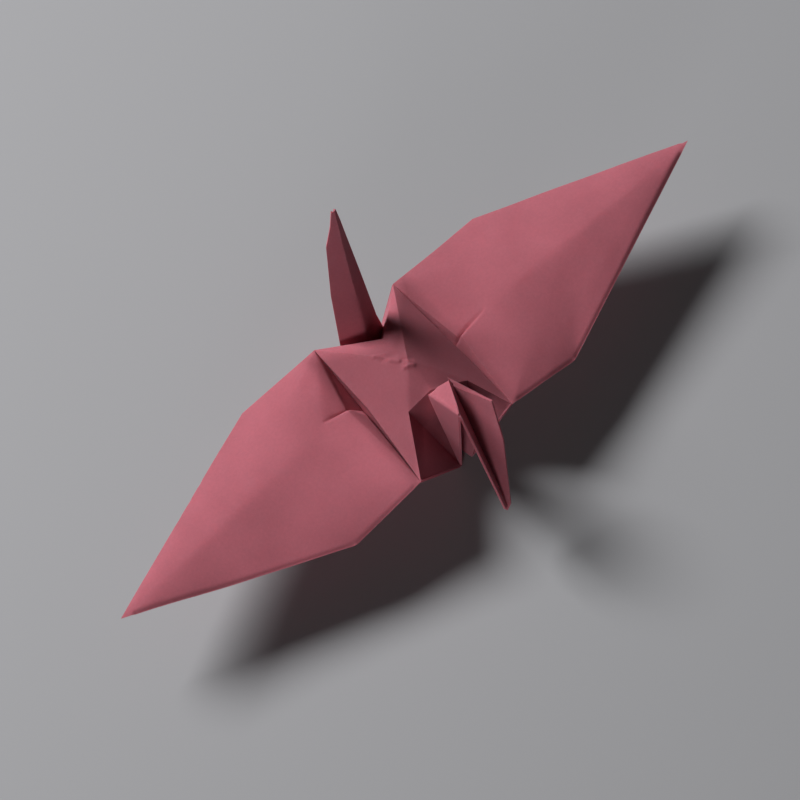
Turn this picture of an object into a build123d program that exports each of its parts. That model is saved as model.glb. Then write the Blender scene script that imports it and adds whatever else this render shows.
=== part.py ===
from build123d import *
import math
import os

# Sheet
SHEET_SIDE = 75.0
PAPER = 0.12
LEG_LAYERS = 2
WALL_LAYERS = 3
LINING_LAYERS = 1
FLAP_LAYERS = 2

# Back: two ridges, and the middle of the sheet between them, with places given above the ridges
RIDGE_HEIGHT = 10.8
BACK_WIDTH = 12.3
BACK_LENGTH = 18.9
BACK_MIDDLE = (0.0, 0.4, 4.4)
LEFT_RIDGE_SKEW = 1.1
RIGHT_RIDGE_SKEW = -0.2
LEFT_RIDGE_BOW = 0.7
RIGHT_RIDGE_BOW = 0.0
TAIL_KNEE = (0.6, 4.7, 2.0)
TAIL_DIP = 0.2
HEAD_KNEE = (-0.2, -3.3, 2.9)
LEFT_SHOULDER = (-3.35, -3.3, 2.0)
RIGHT_SHOULDER = (3.8, -4.8, 1.7)

# Belly: the outline that stands on the table
BELLY_WIDTH = 8.0
BELLY_LENGTH = 14.8
BELLY_END = 1.6
NECK_FOOT_SKEW = 1.4
SPINE_SPREAD = 9.0
SPINE_LIFT = 1.0
SLIT = 0.8

# Wings: a soft roof on each, its root in a crevice beside the ridge, with a small pleat across
WING_ROOF = 14.5
WING_AXIS = 0.4
WING_CROWN = 0.25
WING_HIDDEN = 2.6
LEFT_ROOT = 9.5
RIGHT_ROOT = 10.8
LEFT_SKEW = 0.8
RIGHT_SKEW = -1.7
CREVICE_DEPTH = 4.6
CREVICE_UNDERCUT = 0.8
PLEAT_STEP = 0.8
EDGE_INSET = 0.03
FLAP_POINT = 0.12
WING_ROWS = (0.33, 0.67)
LEFT_PLEAT = ((0.35, 0.6, -1.3), (1.7, 2.1, -0.3), (4.5, 2.5, -0.2))
RIGHT_PLEAT = ((0.3, -0.9, -1.2), (1.3, 0.0, 0.05), (5.6, 0.7, 0.0))

# Tail: place of the tip above the ridges, then how wide and how open the fold is along it
TAIL_TIP = (0.0, 11.7, 23.1)
TAIL_STATIONS = (
    (0.18, 3.1, 74.0),
    (0.30, 2.98, 60.0),
    (0.55, 2.6, 52.0),
    (0.80, 1.82, 45.0),
    (0.92, 0.8, 54.0),
    (1.0, 0.3, 60.0),
)

# Neck and head
NECK_TOP = (0.0, -6.2, 9.2)
NECK_BULGE = (-2.4, -5.4, 8.5)
CREASE_LEFT = (-2.3, -10.0, 10.5)
CREASE_RIGHT = (1.56, -10.9, 9.5)
NECK_FOLD = 0.6
BEAK_TIP = (-1.7, -17.0, -2.9)
BEAK_KINK = 0.42
BEAK_BULGE = 0.5
BEAK_END = 0.45

# Limits of the corner step, for folds that are nearly flat or nearly closed
FLAT_GUARD = 1e-4
MITRE_LIMIT = 8.0

# Lengths that follow from the sheet: a wing or a leg is half a side long
half = SHEET_SIDE / 2
wide = math.tan(math.radians(22.5))
narrow = math.tan(math.radians(11.25))
corner_up = half * (wide - narrow) / (wide + narrow)
corner_out = wide * (half - corner_up)
skin_depth = PAPER / 2
lining_depth = skin_depth + PAPER * LINING_LAYERS
flap_depth = lining_depth + PAPER * FLAP_LAYERS


def above(x, y, z):
    """A point given by its height over the ridges of the back."""
    return Vector(x, y, RIDGE_HEIGHT + z)


def between(a, b, share):
    return a + (b - a) * share


def mitre(normals):
    """The step that moves a corner of the sheet by one unit off all of its facets."""
    rows = [Vector(FLAT_GUARD, 0, 0), Vector(0, FLAT_GUARD, 0), Vector(0, 0, FLAT_GUARD)]
    goal = Vector(0, 0, 0)
    for n in normals:
        rows = [rows[0] + n * n.X, rows[1] + n * n.Y, rows[2] + n * n.Z]
        goal = goal + n
    volume = rows[0].dot(rows[1].cross(rows[2]))
    step = Vector(
        goal.dot(rows[1].cross(rows[2])) / volume,
        rows[0].dot(goal.cross(rows[2])) / volume,
        rows[0].dot(rows[1].cross(goal)) / volume,
    )
    return step if step.length < MITRE_LIMIT else step * (MITRE_LIMIT / step.length)


def sheet(facets, over, under):
    """A closed solid from the folded facets, from one height over them to one under them."""
    corners = {}
    edges = {}
    for facet in facets:
        normal = (facet[1] - facet[0]).cross(facet[2] - facet[0]).normalized()
        keys = [tuple(round(c, 4) for c in point) for point in facet]
        for key, point in zip(keys, facet):
            corners.setdefault(key, (point, []))[1].append(normal)
        for start, end in zip(keys, keys[1:] + keys[:1]):
            edges[(start, end)] = True
    steps = {key: mitre(normals) for key, (point, normals) in corners.items()}
    top = {key: corners[key][0] + steps[key] * over for key in corners}
    bottom = {key: corners[key][0] - steps[key] * under for key in corners}
    faces = []
    for facet in facets:
        a, b, c = [tuple(round(c, 4) for c in point) for point in facet]
        faces.append((top[a], top[b], top[c]))
        faces.append((bottom[a], bottom[c], bottom[b]))
    for start, end in edges:
        if (end, start) not in edges:
            faces.append((top[start], bottom[start], top[end]))
            faces.append((top[end], bottom[start], bottom[end]))
    return Solid(Shell([Face(Wire.make_polygon(face, close=True)) for face in faces]))


def turned(facets, side):
    """Facets written for the right side, with their order turned for the left side."""
    return facets if side > 0 else [(a, c, b) for a, b, c in facets]


def ridge_end(side, end):
    skew = RIGHT_RIDGE_SKEW if side > 0 else LEFT_RIDGE_SKEW
    return above(side * (BACK_WIDTH / 2 - end * skew), end * BACK_LENGTH / 2, 0)


def foot_middle(end):
    """How far the foot of a leg stands to the right; the tail's stands in the middle."""
    return NECK_FOOT_SKEW if end < 0 else 0


def belly_end(side, end):
    return Vector(foot_middle(end) + side * BELLY_END / 2, end * BELLY_LENGTH / 2, 0)


def spine_foot(end):
    return Vector(foot_middle(end), end * SPINE_SPREAD / 2, SPINE_LIFT)

middle = above(*BACK_MIDDLE)
knees = {1: above(*TAIL_KNEE), -1: above(*HEAD_KNEE)}

def shoulder(side, end):
    """The point where the edge behind a ridge end is pulled in towards the middle."""
    if end < 0:
        return above(*(RIGHT_SHOULDER if side > 0 else LEFT_SHOULDER))
    edge = between(knees[end], ridge_end(side, end), 0.5)
    return between(edge, middle, TAIL_DIP / (middle - edge).length)

def wing_points(side):
    root = RIGHT_ROOT if side > 0 else LEFT_ROOT
    skew = RIGHT_SKEW if side > 0 else LEFT_SKEW
    bow = RIGHT_RIDGE_BOW if side > 0 else LEFT_RIDGE_BOW
    pleat = RIGHT_PLEAT if side > 0 else LEFT_PLEAT
    drop = corner_out * math.sin(math.radians(WING_ROOF))
    out = corner_out * math.cos(math.radians(WING_ROOF))
    corner_x = BACK_WIDTH / 2 + root
    ridge_x = BACK_WIDTH / 2 - bow
    high, lip, crease = [above(side * (ridge_x + x), y, z) for x, y, z in pleat]
    return {
        "tail": above(side * (corner_x - skew), WING_AXIS + out, -drop),
        "head": above(side * (corner_x + skew), WING_AXIS - out, -drop),
        "tip": above(side * (BACK_WIDTH / 2 + half - WING_HIDDEN), WING_AXIS, 0),
        "high": high,
        "lip": lip,
        "low": lip - Vector(0, 0, PLEAT_STEP),
        "crease": crease,
        "valley": above(side * (ridge_x - CREVICE_UNDERCUT), lip.Y, -CREVICE_DEPTH),
        "ridge": above(side * ridge_x, high.Y, 0),
    }

def wing_rows(side, end):
    """Rows of three points across half a wing, from its outer edge to its centre crease."""
    p = wing_points(side)
    corner = p["tail"] if end > 0 else p["head"]
    root = ridge_end(side, end)
    edge = [between(root, corner, share) for share in (0, 0.5)]
    edge += [between(corner, p["tip"], share) for share in (0, *WING_ROWS)]
    rows = []
    for number, outer in enumerate(edge):
        inner = between(p["crease"], p["tip"], number / len(edge))
        crown = Vector(0, 0, WING_CROWN if number else 0)
        rows.append((outer, between(outer, inner, 0.5) + crown, inner))
    return rows

def wing_half(side, end):
    """Facets of half a wing's upper face, which run together at the tip."""
    rows = wing_rows(side, end)
    tip = wing_points(side)["tip"]
    return turned(strip(rows) + [(rows[-1][0], rows[-1][1], tip), (rows[-1][1], rows[-1][2], tip)], side * end)

def skin_side(side):
    """Half of the back, the crevice with its pleat, and the wing's upper face."""
    p = wing_points(side)
    tail = ridge_end(side, 1)
    head = ridge_end(side, -1)
    tail_middle = wing_rows(side, 1)[0][1]
    head_middle = wing_rows(side, -1)[0][1]
    root = turned([
        (middle, shoulder(side, -1), p["ridge"]),
        (shoulder(side, -1), head, p["ridge"]),
        (middle, p["ridge"], tail),
        (p["ridge"], head, p["valley"]),
        (tail, p["ridge"], p["valley"]),
        (tail, p["valley"], p["low"]),
        (p["valley"], head, p["high"]),
        (p["valley"], p["high"], p["lip"]),
        (p["valley"], p["lip"], p["low"]),
        (p["low"], p["lip"], p["crease"]),
        (tail, p["low"], tail_middle),
        (tail_middle, p["low"], p["crease"]),
        (p["high"], head, p["lip"]),
        (p["lip"], head, head_middle),
        (p["lip"], head_middle, p["crease"]),
    ], side)
    return root + wing_half(side, 1) + wing_half(side, -1)

def pocket(side, end):
    """The face behind a ridge end, which turns down into the body to the foot of a leg."""
    corner = ridge_end(side, end)
    knee = knees[end]
    pulled = shoulder(side, end)
    belly = belly_end(side, end)
    facets = [
        (middle, pulled, knee),
        (pulled, corner, belly),
        (knee, pulled, belly),
        (knee, belly, spine_foot(end)),
    ]
    if end > 0:
        facets.append((middle, corner, pulled))
    return turned(facets, side * end)

def under_rows(side, end, shares):
    """Rows across half a wing, each cut down to a stretch between two shares of its width."""
    rows = []
    for (outer, centre, inner), (first, last) in zip(wing_rows(side, end), shares):
        points = []
        for share in (first, (first + last) / 2, last):
            near = between(outer, centre, share * 2)
            points.append(near if share < 0.5 else between(centre, inner, share * 2 - 1))
        rows.append(tuple(points))
    return rows

def under_layer(side, end):
    """One of the two raw triangles below a wing, with its straight edge near the centre line."""
    rows = under_rows(side, end, [(EDGE_INSET, 1 - EDGE_INSET)] * len(wing_rows(side, end)))
    outer, centre, inner = rows[-1]
    point = between(wing_points(side)["tip"], centre, EDGE_INSET)
    return turned(strip(rows) + [(outer, centre, point), (centre, inner, point)], side * end)

def narrow_flap(side, end):
    """The corner that was folded under the wing to make the legs narrow."""
    reach = [between(FLAP_POINT, 1 - EDGE_INSET, share) for share in (0, 0.5, 1)]
    return turned(strip(under_rows(side, end, [(EDGE_INSET, last) for last in reach])), side * end)

def wall(side, end):
    """Half of the body's side below the wing; a slit parts it from the other half."""
    slit = Vector(side * BELLY_WIDTH / 2, end * SLIT / 2, 0)
    corner = ridge_end(side, end)
    valley = wing_points(side)["valley"]
    return turned([(corner, belly_end(side, end), slit), (corner, slit, valley)], side * end)

def strip(rows):
    """Facets between rows of points that lie across a leg."""
    facets = []
    for low, high in zip(rows, rows[1:]):
        for i in range(len(low) - 1):
            facets += [(low[i], low[i + 1], high[i + 1]), (low[i], high[i + 1], high[i])]
    return facets


def tail_rows():
    foot = spine_foot(1)
    tip = above(*TAIL_TIP)
    rows = [(belly_end(-1, 1), foot, belly_end(1, 1))]
    for share, width, opening in TAIL_STATIONS:
        spine = between(foot, tip, share)
        across = width * math.sin(math.radians(opening))
        back = width * math.cos(math.radians(opening))
        rows.append((spine + Vector(-across, back, 0), spine, spine + Vector(across, back, 0)))
    return rows


def neck_facets():
    foot = spine_foot(-1)
    top = above(*NECK_TOP)
    bulge = above(*NECK_BULGE)
    left = above(*CREASE_LEFT)
    low = (belly_end(-1, -1), between(belly_end(-1, -1), foot, NECK_FOLD), foot, belly_end(1, -1))
    high = (left, bulge, top, above(*CREASE_RIGHT))
    return strip([low, high]) + [(left, bulge, top)]


def beak_rows():
    first = (above(*CREASE_LEFT), above(*NECK_TOP), above(*CREASE_RIGHT))
    tip = above(*BEAK_TIP)
    last = (tip + Vector(-BEAK_END, 0, BEAK_END), tip, tip + Vector(BEAK_END, 0, BEAK_END))
    kink = [between(a, b, BEAK_KINK) for a, b in zip(first, last)]
    kink[2] = kink[2] + Vector(BEAK_BULGE, 0, BEAK_BULGE)
    return [first, tuple(kink), last]


skin = [facet for side in (1, -1) for facet in skin_side(side)]
skin += [facet for side in (1, -1) for end in (1, -1) for facet in pocket(side, end)]
layers = [sheet(skin, skin_depth, skin_depth)]
for side in (1, -1):
    for end in (1, -1):
        layers.append(sheet(wall(side, end), PAPER * WALL_LAYERS / 2, PAPER * WALL_LAYERS / 2))
        layers.append(sheet(under_layer(side, end), 0, lining_depth))
        layers.append(sheet(narrow_flap(side, end), -PAPER, flap_depth))
for facets in (strip(tail_rows()), neck_facets(), strip(beak_rows())):
    layers.append(sheet(facets, PAPER * LEG_LAYERS / 2, PAPER * LEG_LAYERS / 2))

crane = layers[0].fuse(*layers[1:])
box = crane.bounding_box()
crane = Pos(-box.center().X, -box.center().Y, -box.min.Z) * crane

os.makedirs("parts", exist_ok=True)
export_step(crane, "parts/folded_crane.step")
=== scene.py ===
"""The looks of a folded paper crane: its sheet with soft creases, its paper, a floor, light and a camera."""
import math
import bmesh
import bpy
import numpy as np
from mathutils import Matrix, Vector, kdtree


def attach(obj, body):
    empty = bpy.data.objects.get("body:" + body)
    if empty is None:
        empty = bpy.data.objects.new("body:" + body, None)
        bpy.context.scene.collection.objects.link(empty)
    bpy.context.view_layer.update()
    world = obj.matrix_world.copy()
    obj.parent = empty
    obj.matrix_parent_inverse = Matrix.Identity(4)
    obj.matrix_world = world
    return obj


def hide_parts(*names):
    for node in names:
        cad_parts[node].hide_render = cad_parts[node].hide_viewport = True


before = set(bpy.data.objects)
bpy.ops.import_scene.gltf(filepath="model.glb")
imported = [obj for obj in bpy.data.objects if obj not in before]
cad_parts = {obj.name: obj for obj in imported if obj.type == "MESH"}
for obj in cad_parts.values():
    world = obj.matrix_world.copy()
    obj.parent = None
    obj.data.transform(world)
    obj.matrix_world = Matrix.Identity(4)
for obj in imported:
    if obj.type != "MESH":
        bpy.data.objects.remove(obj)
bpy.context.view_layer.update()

MM = 0.001

# Mesh: the longest edge on the wings and on the body, how far the body reaches to the sides, the gap that is
# welded, and how often an edge is split at most
WING_EDGE = 0.8 * MM
BODY_EDGE = 0.7 * MM
BODY_REACH = 14.0 * MM
WELD = 0.002 * MM
MOST_ROUNDS = 14

# Mesh beside a small crease, as shares of the crease's width: the longest edge, and how far that holds
CREASE_EDGE = 0.9
CREASE_REACH = 2.5

# Creases: bends up to the first angle are smoothed away, and from the second on they stay sharp. In each
# round a point moves by a share of the way to its neighbours, and less on the body
SOFT_BEND = math.radians(9)
SHARP_BEND = math.radians(46)
SMOOTH_ROUNDS = 50
SMOOTH_STEP = 0.5
BODY_SOFTNESS = 0.14

# Bends from this angle on are shaded as sharp, and a normal is divided by this length at least
SHARP_SHADING = math.radians(40)
TINY = 1e-18

# Wings: where they start to the sides, and how far up the normal of an upper face points
WING_START = 9.0 * MM
FACING_UP = 0.5

# Wear: the bend from which a fold is worn, and the share of the wear that spreads to the paper beside it
WORN_BEND = math.radians(48)
WEAR_SPREAD = 0.5

# Folds that are rolled, not creased, in millimetres: the two ends and how far from the line the paper is
# soft. There, only a share of each bend counts
ROLLED_FOLDS = (
    ((0.0, 8.5, 7.7), (0.0, 13.2, 29.1), 0.9),
    ((-2.4, -2.8, 19.4), (-2.3, -7.4, 21.3), 0.6),
)
ROLLED_SHARE = 0.25

# Painted shade on the middle of the back, a darker paper colour that stands in for the shade there, in
# millimetres: its middle, half its width, how much it turns with the ridges, half its length at the middle
# and how much longer it gets to the sides, how far it fades, and its heights
PAINTED_SHADE_MIDDLE = 2.6
PAINTED_SHADE_WIDTH = 7.9
PAINTED_SHADE_SKEW = 0.07
PAINTED_SHADE_LENGTH = 3.8
PAINTED_SHADE_SPREAD = 0.9
PAINTED_SHADE_FADE = 1.5
PAINTED_SHADE_HEIGHTS = (9.6, 16.0)
PAINTED_SHADE_LEVEL = 0.70

# Small creases, seen from above in millimetres: two ends, the height at each of them, and the width. First
# the pinches in the middle of the back, then the pleats across the wings, then folded edges that roll down.
# Paper that lies lower than the floor of the creases stays as it is
SMALL_CREASES = (
    ((-1.85, 6.2), (-0.85, 5.4), 0.20, 0.12, 0.20),
    ((-1.1, 4.5), (-0.65, 3.6), 0.14, 0.20, 0.17),
    ((-0.75, 2.7), (0.2, 2.15), 0.25, 0.15, 0.20),
    ((-1.5, 5.2), (-0.5, 4.6), -0.12, -0.17, 0.28),
    ((-0.3, 3.4), (0.4, 2.9), -0.18, -0.12, 0.26),
    ((-7.0, 4.75), (-9.8, 5.3), -0.24, -0.08, 0.20),
    ((7.1, 2.7), (8.9, 3.1), -0.26, -0.14, 0.20),
    ((9.1, 3.1), (11.8, 3.3), -0.12, 0.0, 0.22),
    ((-8.3, -6.9), (-16.1, -6.8), -0.15, -0.15, 0.26),
    ((-16.8, -6.65), (-39.5, 2.35), -0.15, -0.15, 0.26),
    ((7.0, -6.9), (14.9, -6.8), -0.15, -0.15, 0.26),
    ((15.6, -6.65), (39.5, 2.35), -0.15, -0.15, 0.26),
)
CREASE_FLOOR = 7.5

# The crease along the middle of each wing, in millimetres: two ends seen from above, the height and width
# of its roof, how round the top is, and the share of the line over which it starts and ends
WING_CREASES = (((-10.5, 4.6), (-41.0, 2.6)), ((11.5, 3.3), (41.0, 2.6)))
ROOF_HEIGHT = 0.36
ROOF_WIDTH = 2.6
ROOF_ROUNDING = 0.4
ROOF_FADE = 0.12

# Soft waves of the whole sheet: direction in degrees, length and height in millimetres, and phase. They
# start at one height above the table and are full at another
WAVES = ((20, 21.0, 0.09, 0.4), (105, 13.0, 0.06, 1.9), (160, 9.0, 0.035, 4.1), (65, 30.0, 0.10, 2.6))
WAVE_START = 5.0
WAVE_FULL = 9.0

# Photograph: viewing angle, width of the picture at the object, the camera's distance, nearest view and
# sensor, and a point on the back with its pixel
AZIMUTH = 317.0
ELEVATION = 65.0
PICTURE_WIDTH = 84.8 * MM
CAMERA_DISTANCE = 1.1
NEAREST_VIEW = 0.01
SENSOR = 36.0
BACK_POINT = Vector((0.0, 2.57, 10.9)) * MM
BACK_PIXEL = (410, 380)
PICTURE_PIXELS = 800

# Light: a key that shows a colour as it is written, a weak fill, and a dim room
KEY_DIRECTION = Vector((-3.2, 8.7, 9.9))
KEY_DISTANCE = 0.6
KEY_SIZE = 0.24
KEY_WATTS = 3.85
FILL_DIRECTION = Vector((-7.8, -5.6, 2.4))
FILL_DISTANCE = 0.9
FILL_SIZE = 0.3
FILL_WATTS = 1.5
ROOM_LEVEL = 0.015

# Colours of the paper, its worn folds, the floor and the room
PAPER_COLOR = (0.47, 0.135, 0.172)
WORN_COLOR = (0.54, 0.175, 0.215)
FLOOR_COLOR = (0.385, 0.385, 0.40, 1)
ROOM_COLOR = (1, 1, 1, 1)

# Floor: its side in metres, and how rough it is
FLOOR_SIZE = 3.0
FLOOR_ROUGHNESS = 0.7

# Paper: the clouds, fibres and tooth in it, each with its size in millimetres, its detail and its roughness
CLOUDS = (5.0, 3, 0.55)
FIBRES = (0.32, 6, 0.7)
TOOTH = (0.16, 4, 0.65)
TOOTH_STRENGTH = 0.35
TOOTH_DEPTH = 0.02 * MM

# Paper: from a low and a high value of the clouds or fibres to a low and a high shade, wear or roughness
CLOUD_SHADES = (0.3, 0.7, 0.95, 1.05)
FIBRE_SHADES = (0.25, 0.75, 0.92, 1.08)
FIBRE_WEAR = (0.35, 0.7, 0.15, 0.75)
FIBRE_ROUGHNESS = (0.3, 0.7, 0.78, 0.95)
GLOSS = 0.2

# Paper: how much light glows through it, how far each colour of it goes, and how deep
GLOW = 0.5
GLOW_RADIUS = (1.0, 0.35, 0.35)
GLOW_DEPTH = 0.3 * MM


def line_distance(points, start, end):
    """How far points are from a line between two ends in millimetres, and where along it they are."""
    start, end = np.array(start) * MM, np.array(end) * MM
    way = end - start
    along = np.clip((points - start) @ way / (way @ way), 0, 1)
    return np.linalg.norm(points - start - along[:, None] * way, axis=1), along


def edge_limit(middle):
    """The longest edge that is allowed at these places."""
    limit = np.where(np.abs(middle[:, 0]) < BODY_REACH, BODY_EDGE, WING_EDGE)
    for start, end, _, _, width in SMALL_CREASES:
        off, _ = line_distance(middle[:, :2], start, end)
        near = (off < CREASE_REACH * width * MM) & (middle[:, 2] > CREASE_FLOOR * MM)
        limit = np.where(near, np.minimum(limit, CREASE_EDGE * width * MM), limit)
    return limit


def edges_of(triangles):
    """Each edge once, and for each triangle the numbers of its three edges."""
    pairs = np.sort(triangles[:, [[0, 1], [1, 2], [2, 0]]], axis=2).reshape(-1, 2)
    edges, where = np.unique(pairs, axis=0, return_inverse=True)
    return edges, where.reshape(-1, 3)


def divided(points, triangles):
    """Splits long edges in half, round after round, and the triangles that lie along them."""
    for _ in range(MOST_ROUNDS):
        edges, where = edges_of(triangles)
        ends = points[edges]
        middle = ends.mean(1)
        too_long = np.linalg.norm(ends[:, 0] - ends[:, 1], axis=1) > edge_limit(middle)
        if not too_long.any():
            break
        number = np.full(len(edges), -1)
        number[too_long] = len(points) + np.arange(too_long.sum())
        points = np.vstack([points, middle[too_long]])
        triangles = split_triangles(points, triangles, number[where])
    return points, triangles


def split_triangles(points, triangles, middles):
    """Each triangle becomes 1 to 4, by how many of its edges have a middle point."""
    count = (middles >= 0).sum(1)
    parts = [triangles[count == 0]]
    for turn in range(3):
        a, b, c = np.roll(triangles, -turn, axis=1).T
        x, y, z = np.roll(middles, -turn, axis=1).T
        one = (count == 1) & (x >= 0)
        parts.append(np.stack([a, x, c], 1)[one])
        parts.append(np.stack([x, b, c], 1)[one])
        two = (count == 2) & (z < 0)
        from_a = np.linalg.norm(points[a] - points[y], axis=1)
        from_c = np.linalg.norm(points[c] - points[x], axis=1)
        short = two & (from_a < from_c)
        other = two & ~short
        parts.append(np.stack([x, b, y], 1)[two])
        parts.append(np.stack([a, x, y], 1)[short])
        parts.append(np.stack([a, y, c], 1)[short])
        parts.append(np.stack([a, x, c], 1)[other])
        parts.append(np.stack([x, y, c], 1)[other])
    a, b, c = triangles[count == 3].T
    x, y, z = middles[count == 3].T
    for corner in ((a, x, z), (x, b, y), (z, y, c), (x, y, z)):
        parts.append(np.stack(corner, 1))
    return np.vstack(parts)


def welded(source):
    """Points and triangles of a mesh, with points that lie together joined."""
    mesh = bmesh.new()
    mesh.from_mesh(source.data)
    bmesh.ops.remove_doubles(mesh, verts=mesh.verts, dist=WELD)
    bmesh.ops.triangulate(mesh, faces=mesh.faces)
    points = np.array([v.co for v in mesh.verts], float)
    mesh.verts.index_update()
    triangles = np.array([[v.index for v in f.verts] for f in mesh.faces])
    mesh.free()
    return points, triangles


def bends(points, triangles):
    """The edges, the angle that the surface turns at each of them, and whether it turns outwards."""
    edges, where = edges_of(triangles)
    a, b, c = points[triangles].transpose(1, 0, 2)
    normals = np.cross(b - a, c - a)
    normals /= np.maximum(np.linalg.norm(normals, axis=1, keepdims=True), TINY)
    total = np.zeros((len(edges), 3))
    reach = -2 * points[edges].mean(1)
    for corner in range(3):
        np.add.at(total, where[:, corner], normals)
        np.add.at(reach, where[:, corner], (a + b + c) / 3)
    half_cosine = np.clip(np.linalg.norm(total, axis=1) / 2, 0, 1)
    return edges, 2 * np.arccos(half_cosine), (total * reach).sum(1) < 0


def sharpest(edges, angles, count):
    """The sharpest bend that meets each point."""
    most = np.zeros(count)
    for end in range(2):
        np.maximum.at(most, edges[:, end], angles)
    return most


def neighbour_mean(values, edges):
    """The mean of the neighbours of each point."""
    count = len(values)
    first, second = edges.T
    degree = np.maximum(np.bincount(first, minlength=count) + np.bincount(second, minlength=count), 1)
    columns = []
    for column in values.reshape(count, -1).T:
        total = np.bincount(first, column[second], count) + np.bincount(second, column[first], count)
        columns.append(total / degree)
    return np.stack(columns, 1).reshape(values.shape)


def rolled(points, most):
    """Takes rolled folds for faint bends."""
    for start, end, reach in ROLLED_FOLDS:
        off, _ = line_distance(points, start, end)
        most = np.where(off < reach * MM, most * ROLLED_SHARE, most)
    return most


def softened(points, edges, most):
    """Rounds the faint bends of the sheet and leaves its sharp folds and cut edges."""
    share = np.clip((SHARP_BEND - most) / (SHARP_BEND - SOFT_BEND), 0, 1)
    softness = np.where(np.abs(points[:, 0]) > WING_START, 1, BODY_SOFTNESS)
    weight = (SMOOTH_STEP * softness * share * share)[:, None]
    for _ in range(SMOOTH_ROUNDS):
        points = points + (neighbour_mean(points, edges) - points) * weight
    return points


def with_wing_tops(points, triangles, moved):
    """Moves the under sides of the wings along with their upper faces, so that no layer gets thinner."""
    a, b, c = points[triangles].transpose(1, 0, 2)
    normals = np.zeros_like(points)
    for corner in range(3):
        np.add.at(normals, triangles[:, corner], np.cross(b - a, c - a))
    wing = np.abs(points[:, 0]) > WING_START
    upper = wing & (normals[:, 2] > FACING_UP * np.linalg.norm(normals, axis=1))
    tree = kdtree.KDTree(int(upper.sum()))
    for number in np.flatnonzero(upper):
        tree.insert((points[number, 0], points[number, 1], 0), number)
    tree.balance()
    for number in np.flatnonzero(wing & ~upper):
        nearest = tree.find((points[number, 0], points[number, 1], 0))[1]
        moved[number] = points[number] + moved[nearest] - points[nearest]
    return moved


def creased(points):
    """Small ridges and hollows where the paper is pinched, pleated or rolled over."""
    upper = points[:, 2] > CREASE_FLOOR * MM
    for start, end, first, last, width in SMALL_CREASES:
        off, along = line_distance(points[:, :2], start, end)
        height = (first + (last - first) * along) * MM
        points[:, 2] += np.where(upper, height * np.exp(-(off / (width * MM)) ** 2), 0)
    return points


def roofed(points):
    """A low roof along the middle of each wing."""
    for start, end in WING_CREASES:
        off, along = line_distance(points[:, :2], start, end)
        share = np.clip(np.minimum(along, 1 - along) / ROOF_FADE, 0, 1)
        points[:, 2] += share * ROOF_HEIGHT * MM * np.exp(-np.hypot(off / MM, ROOF_ROUNDING) / ROOF_WIDTH)
    return points


def waved(points):
    """Soft waves of the sheet, which die out towards the table."""
    x, y, z = points.T / MM
    share = np.clip((z - WAVE_START) / (WAVE_FULL - WAVE_START), 0, 1)
    for direction, length, height, phase in WAVES:
        a = math.radians(direction)
        way = x * math.cos(a) + y * math.sin(a)
        points[:, 2] += share * height * MM * np.sin(2 * math.pi * way / length + phase)
    return points


def fold_wear(edges, angles, outward, count):
    """How worn the paper is at each point: most on the outer side of its folds and cut edges."""
    wear = (sharpest(edges, angles * outward, count) > WORN_BEND).astype(float)
    return (1 - WEAR_SPREAD) * wear + WEAR_SPREAD * neighbour_mean(wear, edges)


def painted_back_shade(points):
    """How much painted shade each point gets: most on the middle of the back."""
    x, y, z = points.T / MM
    side = np.abs(x - PAINTED_SHADE_SKEW * (y - PAINTED_SHADE_MIDDLE))
    inside = np.minimum(PAINTED_SHADE_WIDTH - side, PAINTED_SHADE_LENGTH + PAINTED_SHADE_SPREAD * side - np.abs(y - PAINTED_SHADE_MIDDLE))
    return np.clip(inside / PAINTED_SHADE_FADE, 0, 1) * (z > PAINTED_SHADE_HEIGHTS[0]) * (z < PAINTED_SHADE_HEIGHTS[1])


def crane_sheet(source):
    """The folded sheet: a fine copy of the solid with soft creases, small pinches and waves."""
    points, triangles = divided(*welded(source))
    edges, angles, outward = bends(points, triangles)
    wear = fold_wear(edges, angles, outward, len(points))
    moved = softened(points, edges, rolled(points, sharpest(edges, angles, len(points))))
    points = waved(roofed(creased(with_wing_tops(points, triangles, moved))))
    data = bpy.data.meshes.new("crane_sheet")
    data.from_pydata(points.tolist(), [], triangles.tolist())
    # Kept for each point: the wear of the folds, and the painted shade for the middle of the back
    for name, values in (("fold_wear", wear), ("painted_back_shade", painted_back_shade(points))):
        data.attributes.new(name, "FLOAT", "POINT").data.foreach_set("value", values)
    data.shade_smooth()
    data.set_sharp_from_angle(angle=SHARP_SHADING)
    piece = bpy.data.objects.new("crane_sheet", data)
    bpy.context.collection.objects.link(piece)
    return piece


def add_node(tree, kind, **inputs):
    """A new node with its input sockets set to numbers, or linked to sockets."""
    node = tree.nodes.new(kind)
    for name, value in inputs.items():
        socket = node.inputs[name.replace("_", " ")]
        if isinstance(value, bpy.types.NodeSocket):
            tree.links.new(value, socket)
        else:
            socket.default_value = value
    return node


def noise(tree, place, size, detail, roughness):
    """A noise whose features are about this many millimetres wide."""
    scale = 1 / (size * MM)
    node = add_node(
        tree, "ShaderNodeTexNoise", Vector=place, Scale=scale, Detail=detail, Roughness=roughness
    )
    return node.outputs["Fac"]


def ranged(tree, value, limits):
    """A value taken from one range, given by its low and high end, to another."""
    node = add_node(tree, "ShaderNodeMapRange", Value=value)
    for name, number in zip(("From Min", "From Max", "To Min", "To Max"), limits):
        node.inputs[name].default_value = number
    return node.outputs["Result"]


def scaled_color(tree, color, factor):
    """A colour made lighter or darker by a factor."""
    node = add_node(tree, "ShaderNodeVectorMath", Vector=color)
    node.operation = "SCALE"
    tree.links.new(factor, node.inputs["Scale"])
    return node.outputs["Vector"]


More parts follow.
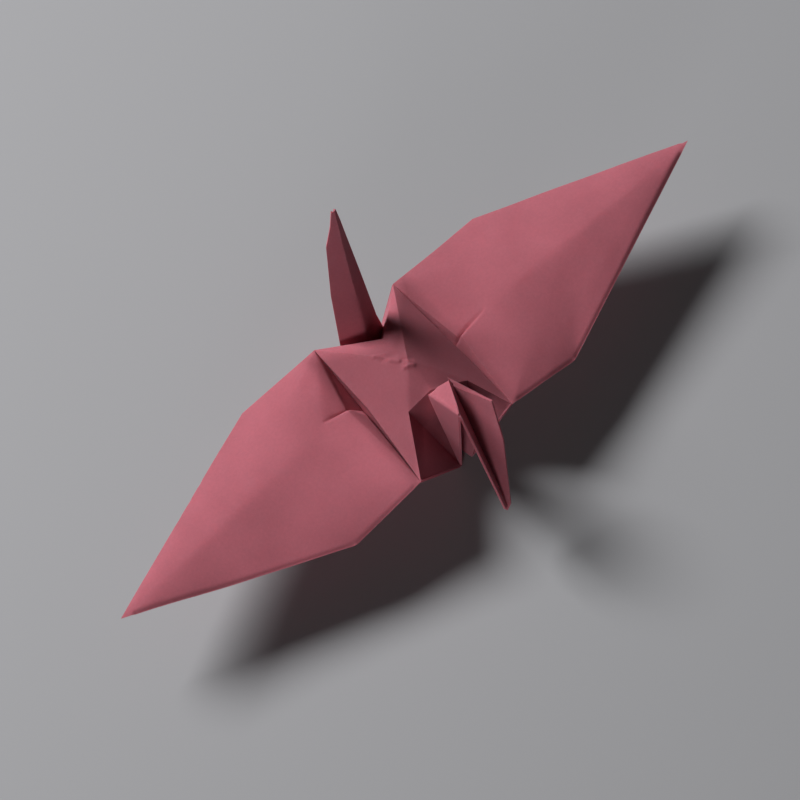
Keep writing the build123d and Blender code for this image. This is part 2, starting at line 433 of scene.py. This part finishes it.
def product(tree, first, second):
    """Two values multiplied."""
    node = tree.nodes.new("ShaderNodeMath")
    node.operation = "MULTIPLY"
    tree.links.new(first, node.inputs[0])
    tree.links.new(second, node.inputs[1])
    return node.outputs["Value"]


def attribute(tree, name):
    """A number that is kept for each point of the mesh."""
    node = tree.nodes.new("ShaderNodeAttribute")
    node.attribute_name = name
    return node.outputs["Fac"]


def paper_material():
    """Dyed paper: cloudy colour, fine fibres, a little wear on folds and cut edges, painted shade on the
    back.
    """
    material = bpy.data.materials.new("pink_paper")
    material.use_nodes = True
    tree = material.node_tree
    shader = tree.nodes["Principled BSDF"]
    place = tree.nodes.new("ShaderNodeTexCoord").outputs["Object"]
    clouds = noise(tree, place, *CLOUDS)
    fibres = noise(tree, place, *FIBRES)
    tooth = noise(tree, place, *TOOTH)
    worn = product(tree, attribute(tree, "fold_wear"), ranged(tree, fibres, FIBRE_WEAR))
    tint = tree.nodes.new("ShaderNodeMix")
    tint.data_type = "RGBA"
    tree.links.new(worn, tint.inputs["Factor"])
    tint.inputs["A"].default_value = (*PAPER_COLOR, 1)
    tint.inputs["B"].default_value = (*WORN_COLOR, 1)
    shade = product(tree, ranged(tree, clouds, CLOUD_SHADES), ranged(tree, fibres, FIBRE_SHADES))
    # Painted shade: the colour is darkened on the middle of the back to stand in for the shade that falls
    # there
    shade = product(tree, shade, ranged(tree, attribute(tree, "painted_back_shade"), (0, 1, 1, PAINTED_SHADE_LEVEL)))
    tree.links.new(scaled_color(tree, tint.outputs["Result"], shade), shader.inputs["Base Color"])
    tree.links.new(ranged(tree, fibres, FIBRE_ROUGHNESS), shader.inputs["Roughness"])
    bump = add_node(tree, "ShaderNodeBump", Strength=TOOTH_STRENGTH, Distance=TOOTH_DEPTH, Height=tooth)
    tree.links.new(bump.outputs["Normal"], shader.inputs["Normal"])
    shader.inputs["Specular IOR Level"].default_value = GLOSS
    shader.inputs["Subsurface Weight"].default_value = GLOW
    shader.inputs["Subsurface Radius"].default_value = GLOW_RADIUS
    shader.inputs["Subsurface Scale"].default_value = GLOW_DEPTH
    return material


def floor():
    """A plain pale table."""
    bpy.ops.mesh.primitive_plane_add(size=FLOOR_SIZE)
    plane = bpy.context.object
    plane.name = "floor"
    material = bpy.data.materials.new("floor")
    material.use_nodes = True
    shader = material.node_tree.nodes["Principled BSDF"]
    shader.inputs["Base Color"].default_value = FLOOR_COLOR
    shader.inputs["Roughness"].default_value = FLOOR_ROUGHNESS
    plane.data.materials.append(material)


def lamp(name, direction, distance, size, watts):
    """A round soft lamp that shines on the part from this direction."""
    data = bpy.data.lights.new(name, "AREA")
    data.shape = "DISK"
    data.size = size
    data.energy = watts
    light = bpy.data.objects.new(name, data)
    light.location = direction.normalized() * distance
    light.rotation_euler = direction.to_track_quat("Z", "Y").to_euler()
    bpy.context.collection.objects.link(light)


def lights():
    """A soft key from behind the tail, as in the photograph, a low fill from the front, and a dim room."""
    lamp("key", KEY_DIRECTION, KEY_DISTANCE, KEY_SIZE, KEY_WATTS)
    lamp("fill", FILL_DIRECTION, FILL_DISTANCE, FILL_SIZE, FILL_WATTS)
    world = bpy.data.worlds.new("room")
    world.use_nodes = True
    background = world.node_tree.nodes["Background"]
    background.inputs["Color"].default_value = ROOM_COLOR
    background.inputs["Strength"].default_value = ROOM_LEVEL
    bpy.context.scene.world = world


def camera():
    """A long lens at the photograph's viewing angle."""
    a, e = math.radians(AZIMUTH), math.radians(ELEVATION)
    back = Vector((math.sin(a) * math.cos(e), -math.cos(a) * math.cos(e), math.sin(e)))
    right = Vector((math.cos(a), math.sin(a), 0))
    up = back.cross(right)
    pixel = PICTURE_WIDTH / PICTURE_PIXELS
    middle = PICTURE_PIXELS / 2
    target = BACK_POINT + right * (middle - BACK_PIXEL[0]) * pixel - up * (middle - BACK_PIXEL[1]) * pixel
    data = bpy.data.cameras.new("camera")
    data.sensor_width = SENSOR
    data.lens = SENSOR * CAMERA_DISTANCE / PICTURE_WIDTH
    data.clip_start = NEAREST_VIEW
    view = bpy.data.objects.new("camera", data)
    view.location = target + back * CAMERA_DISTANCE
    view.rotation_euler = back.to_track_quat("Z", "Y").to_euler()
    bpy.context.collection.objects.link(view)
    bpy.context.scene.camera = view


crane = crane_sheet(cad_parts["folded_crane"])
crane.data.materials.append(paper_material())
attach(crane, "root")
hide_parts("folded_crane")
floor()
lights()
camera()
bpy.context.scene.view_settings.view_transform = "Standard"
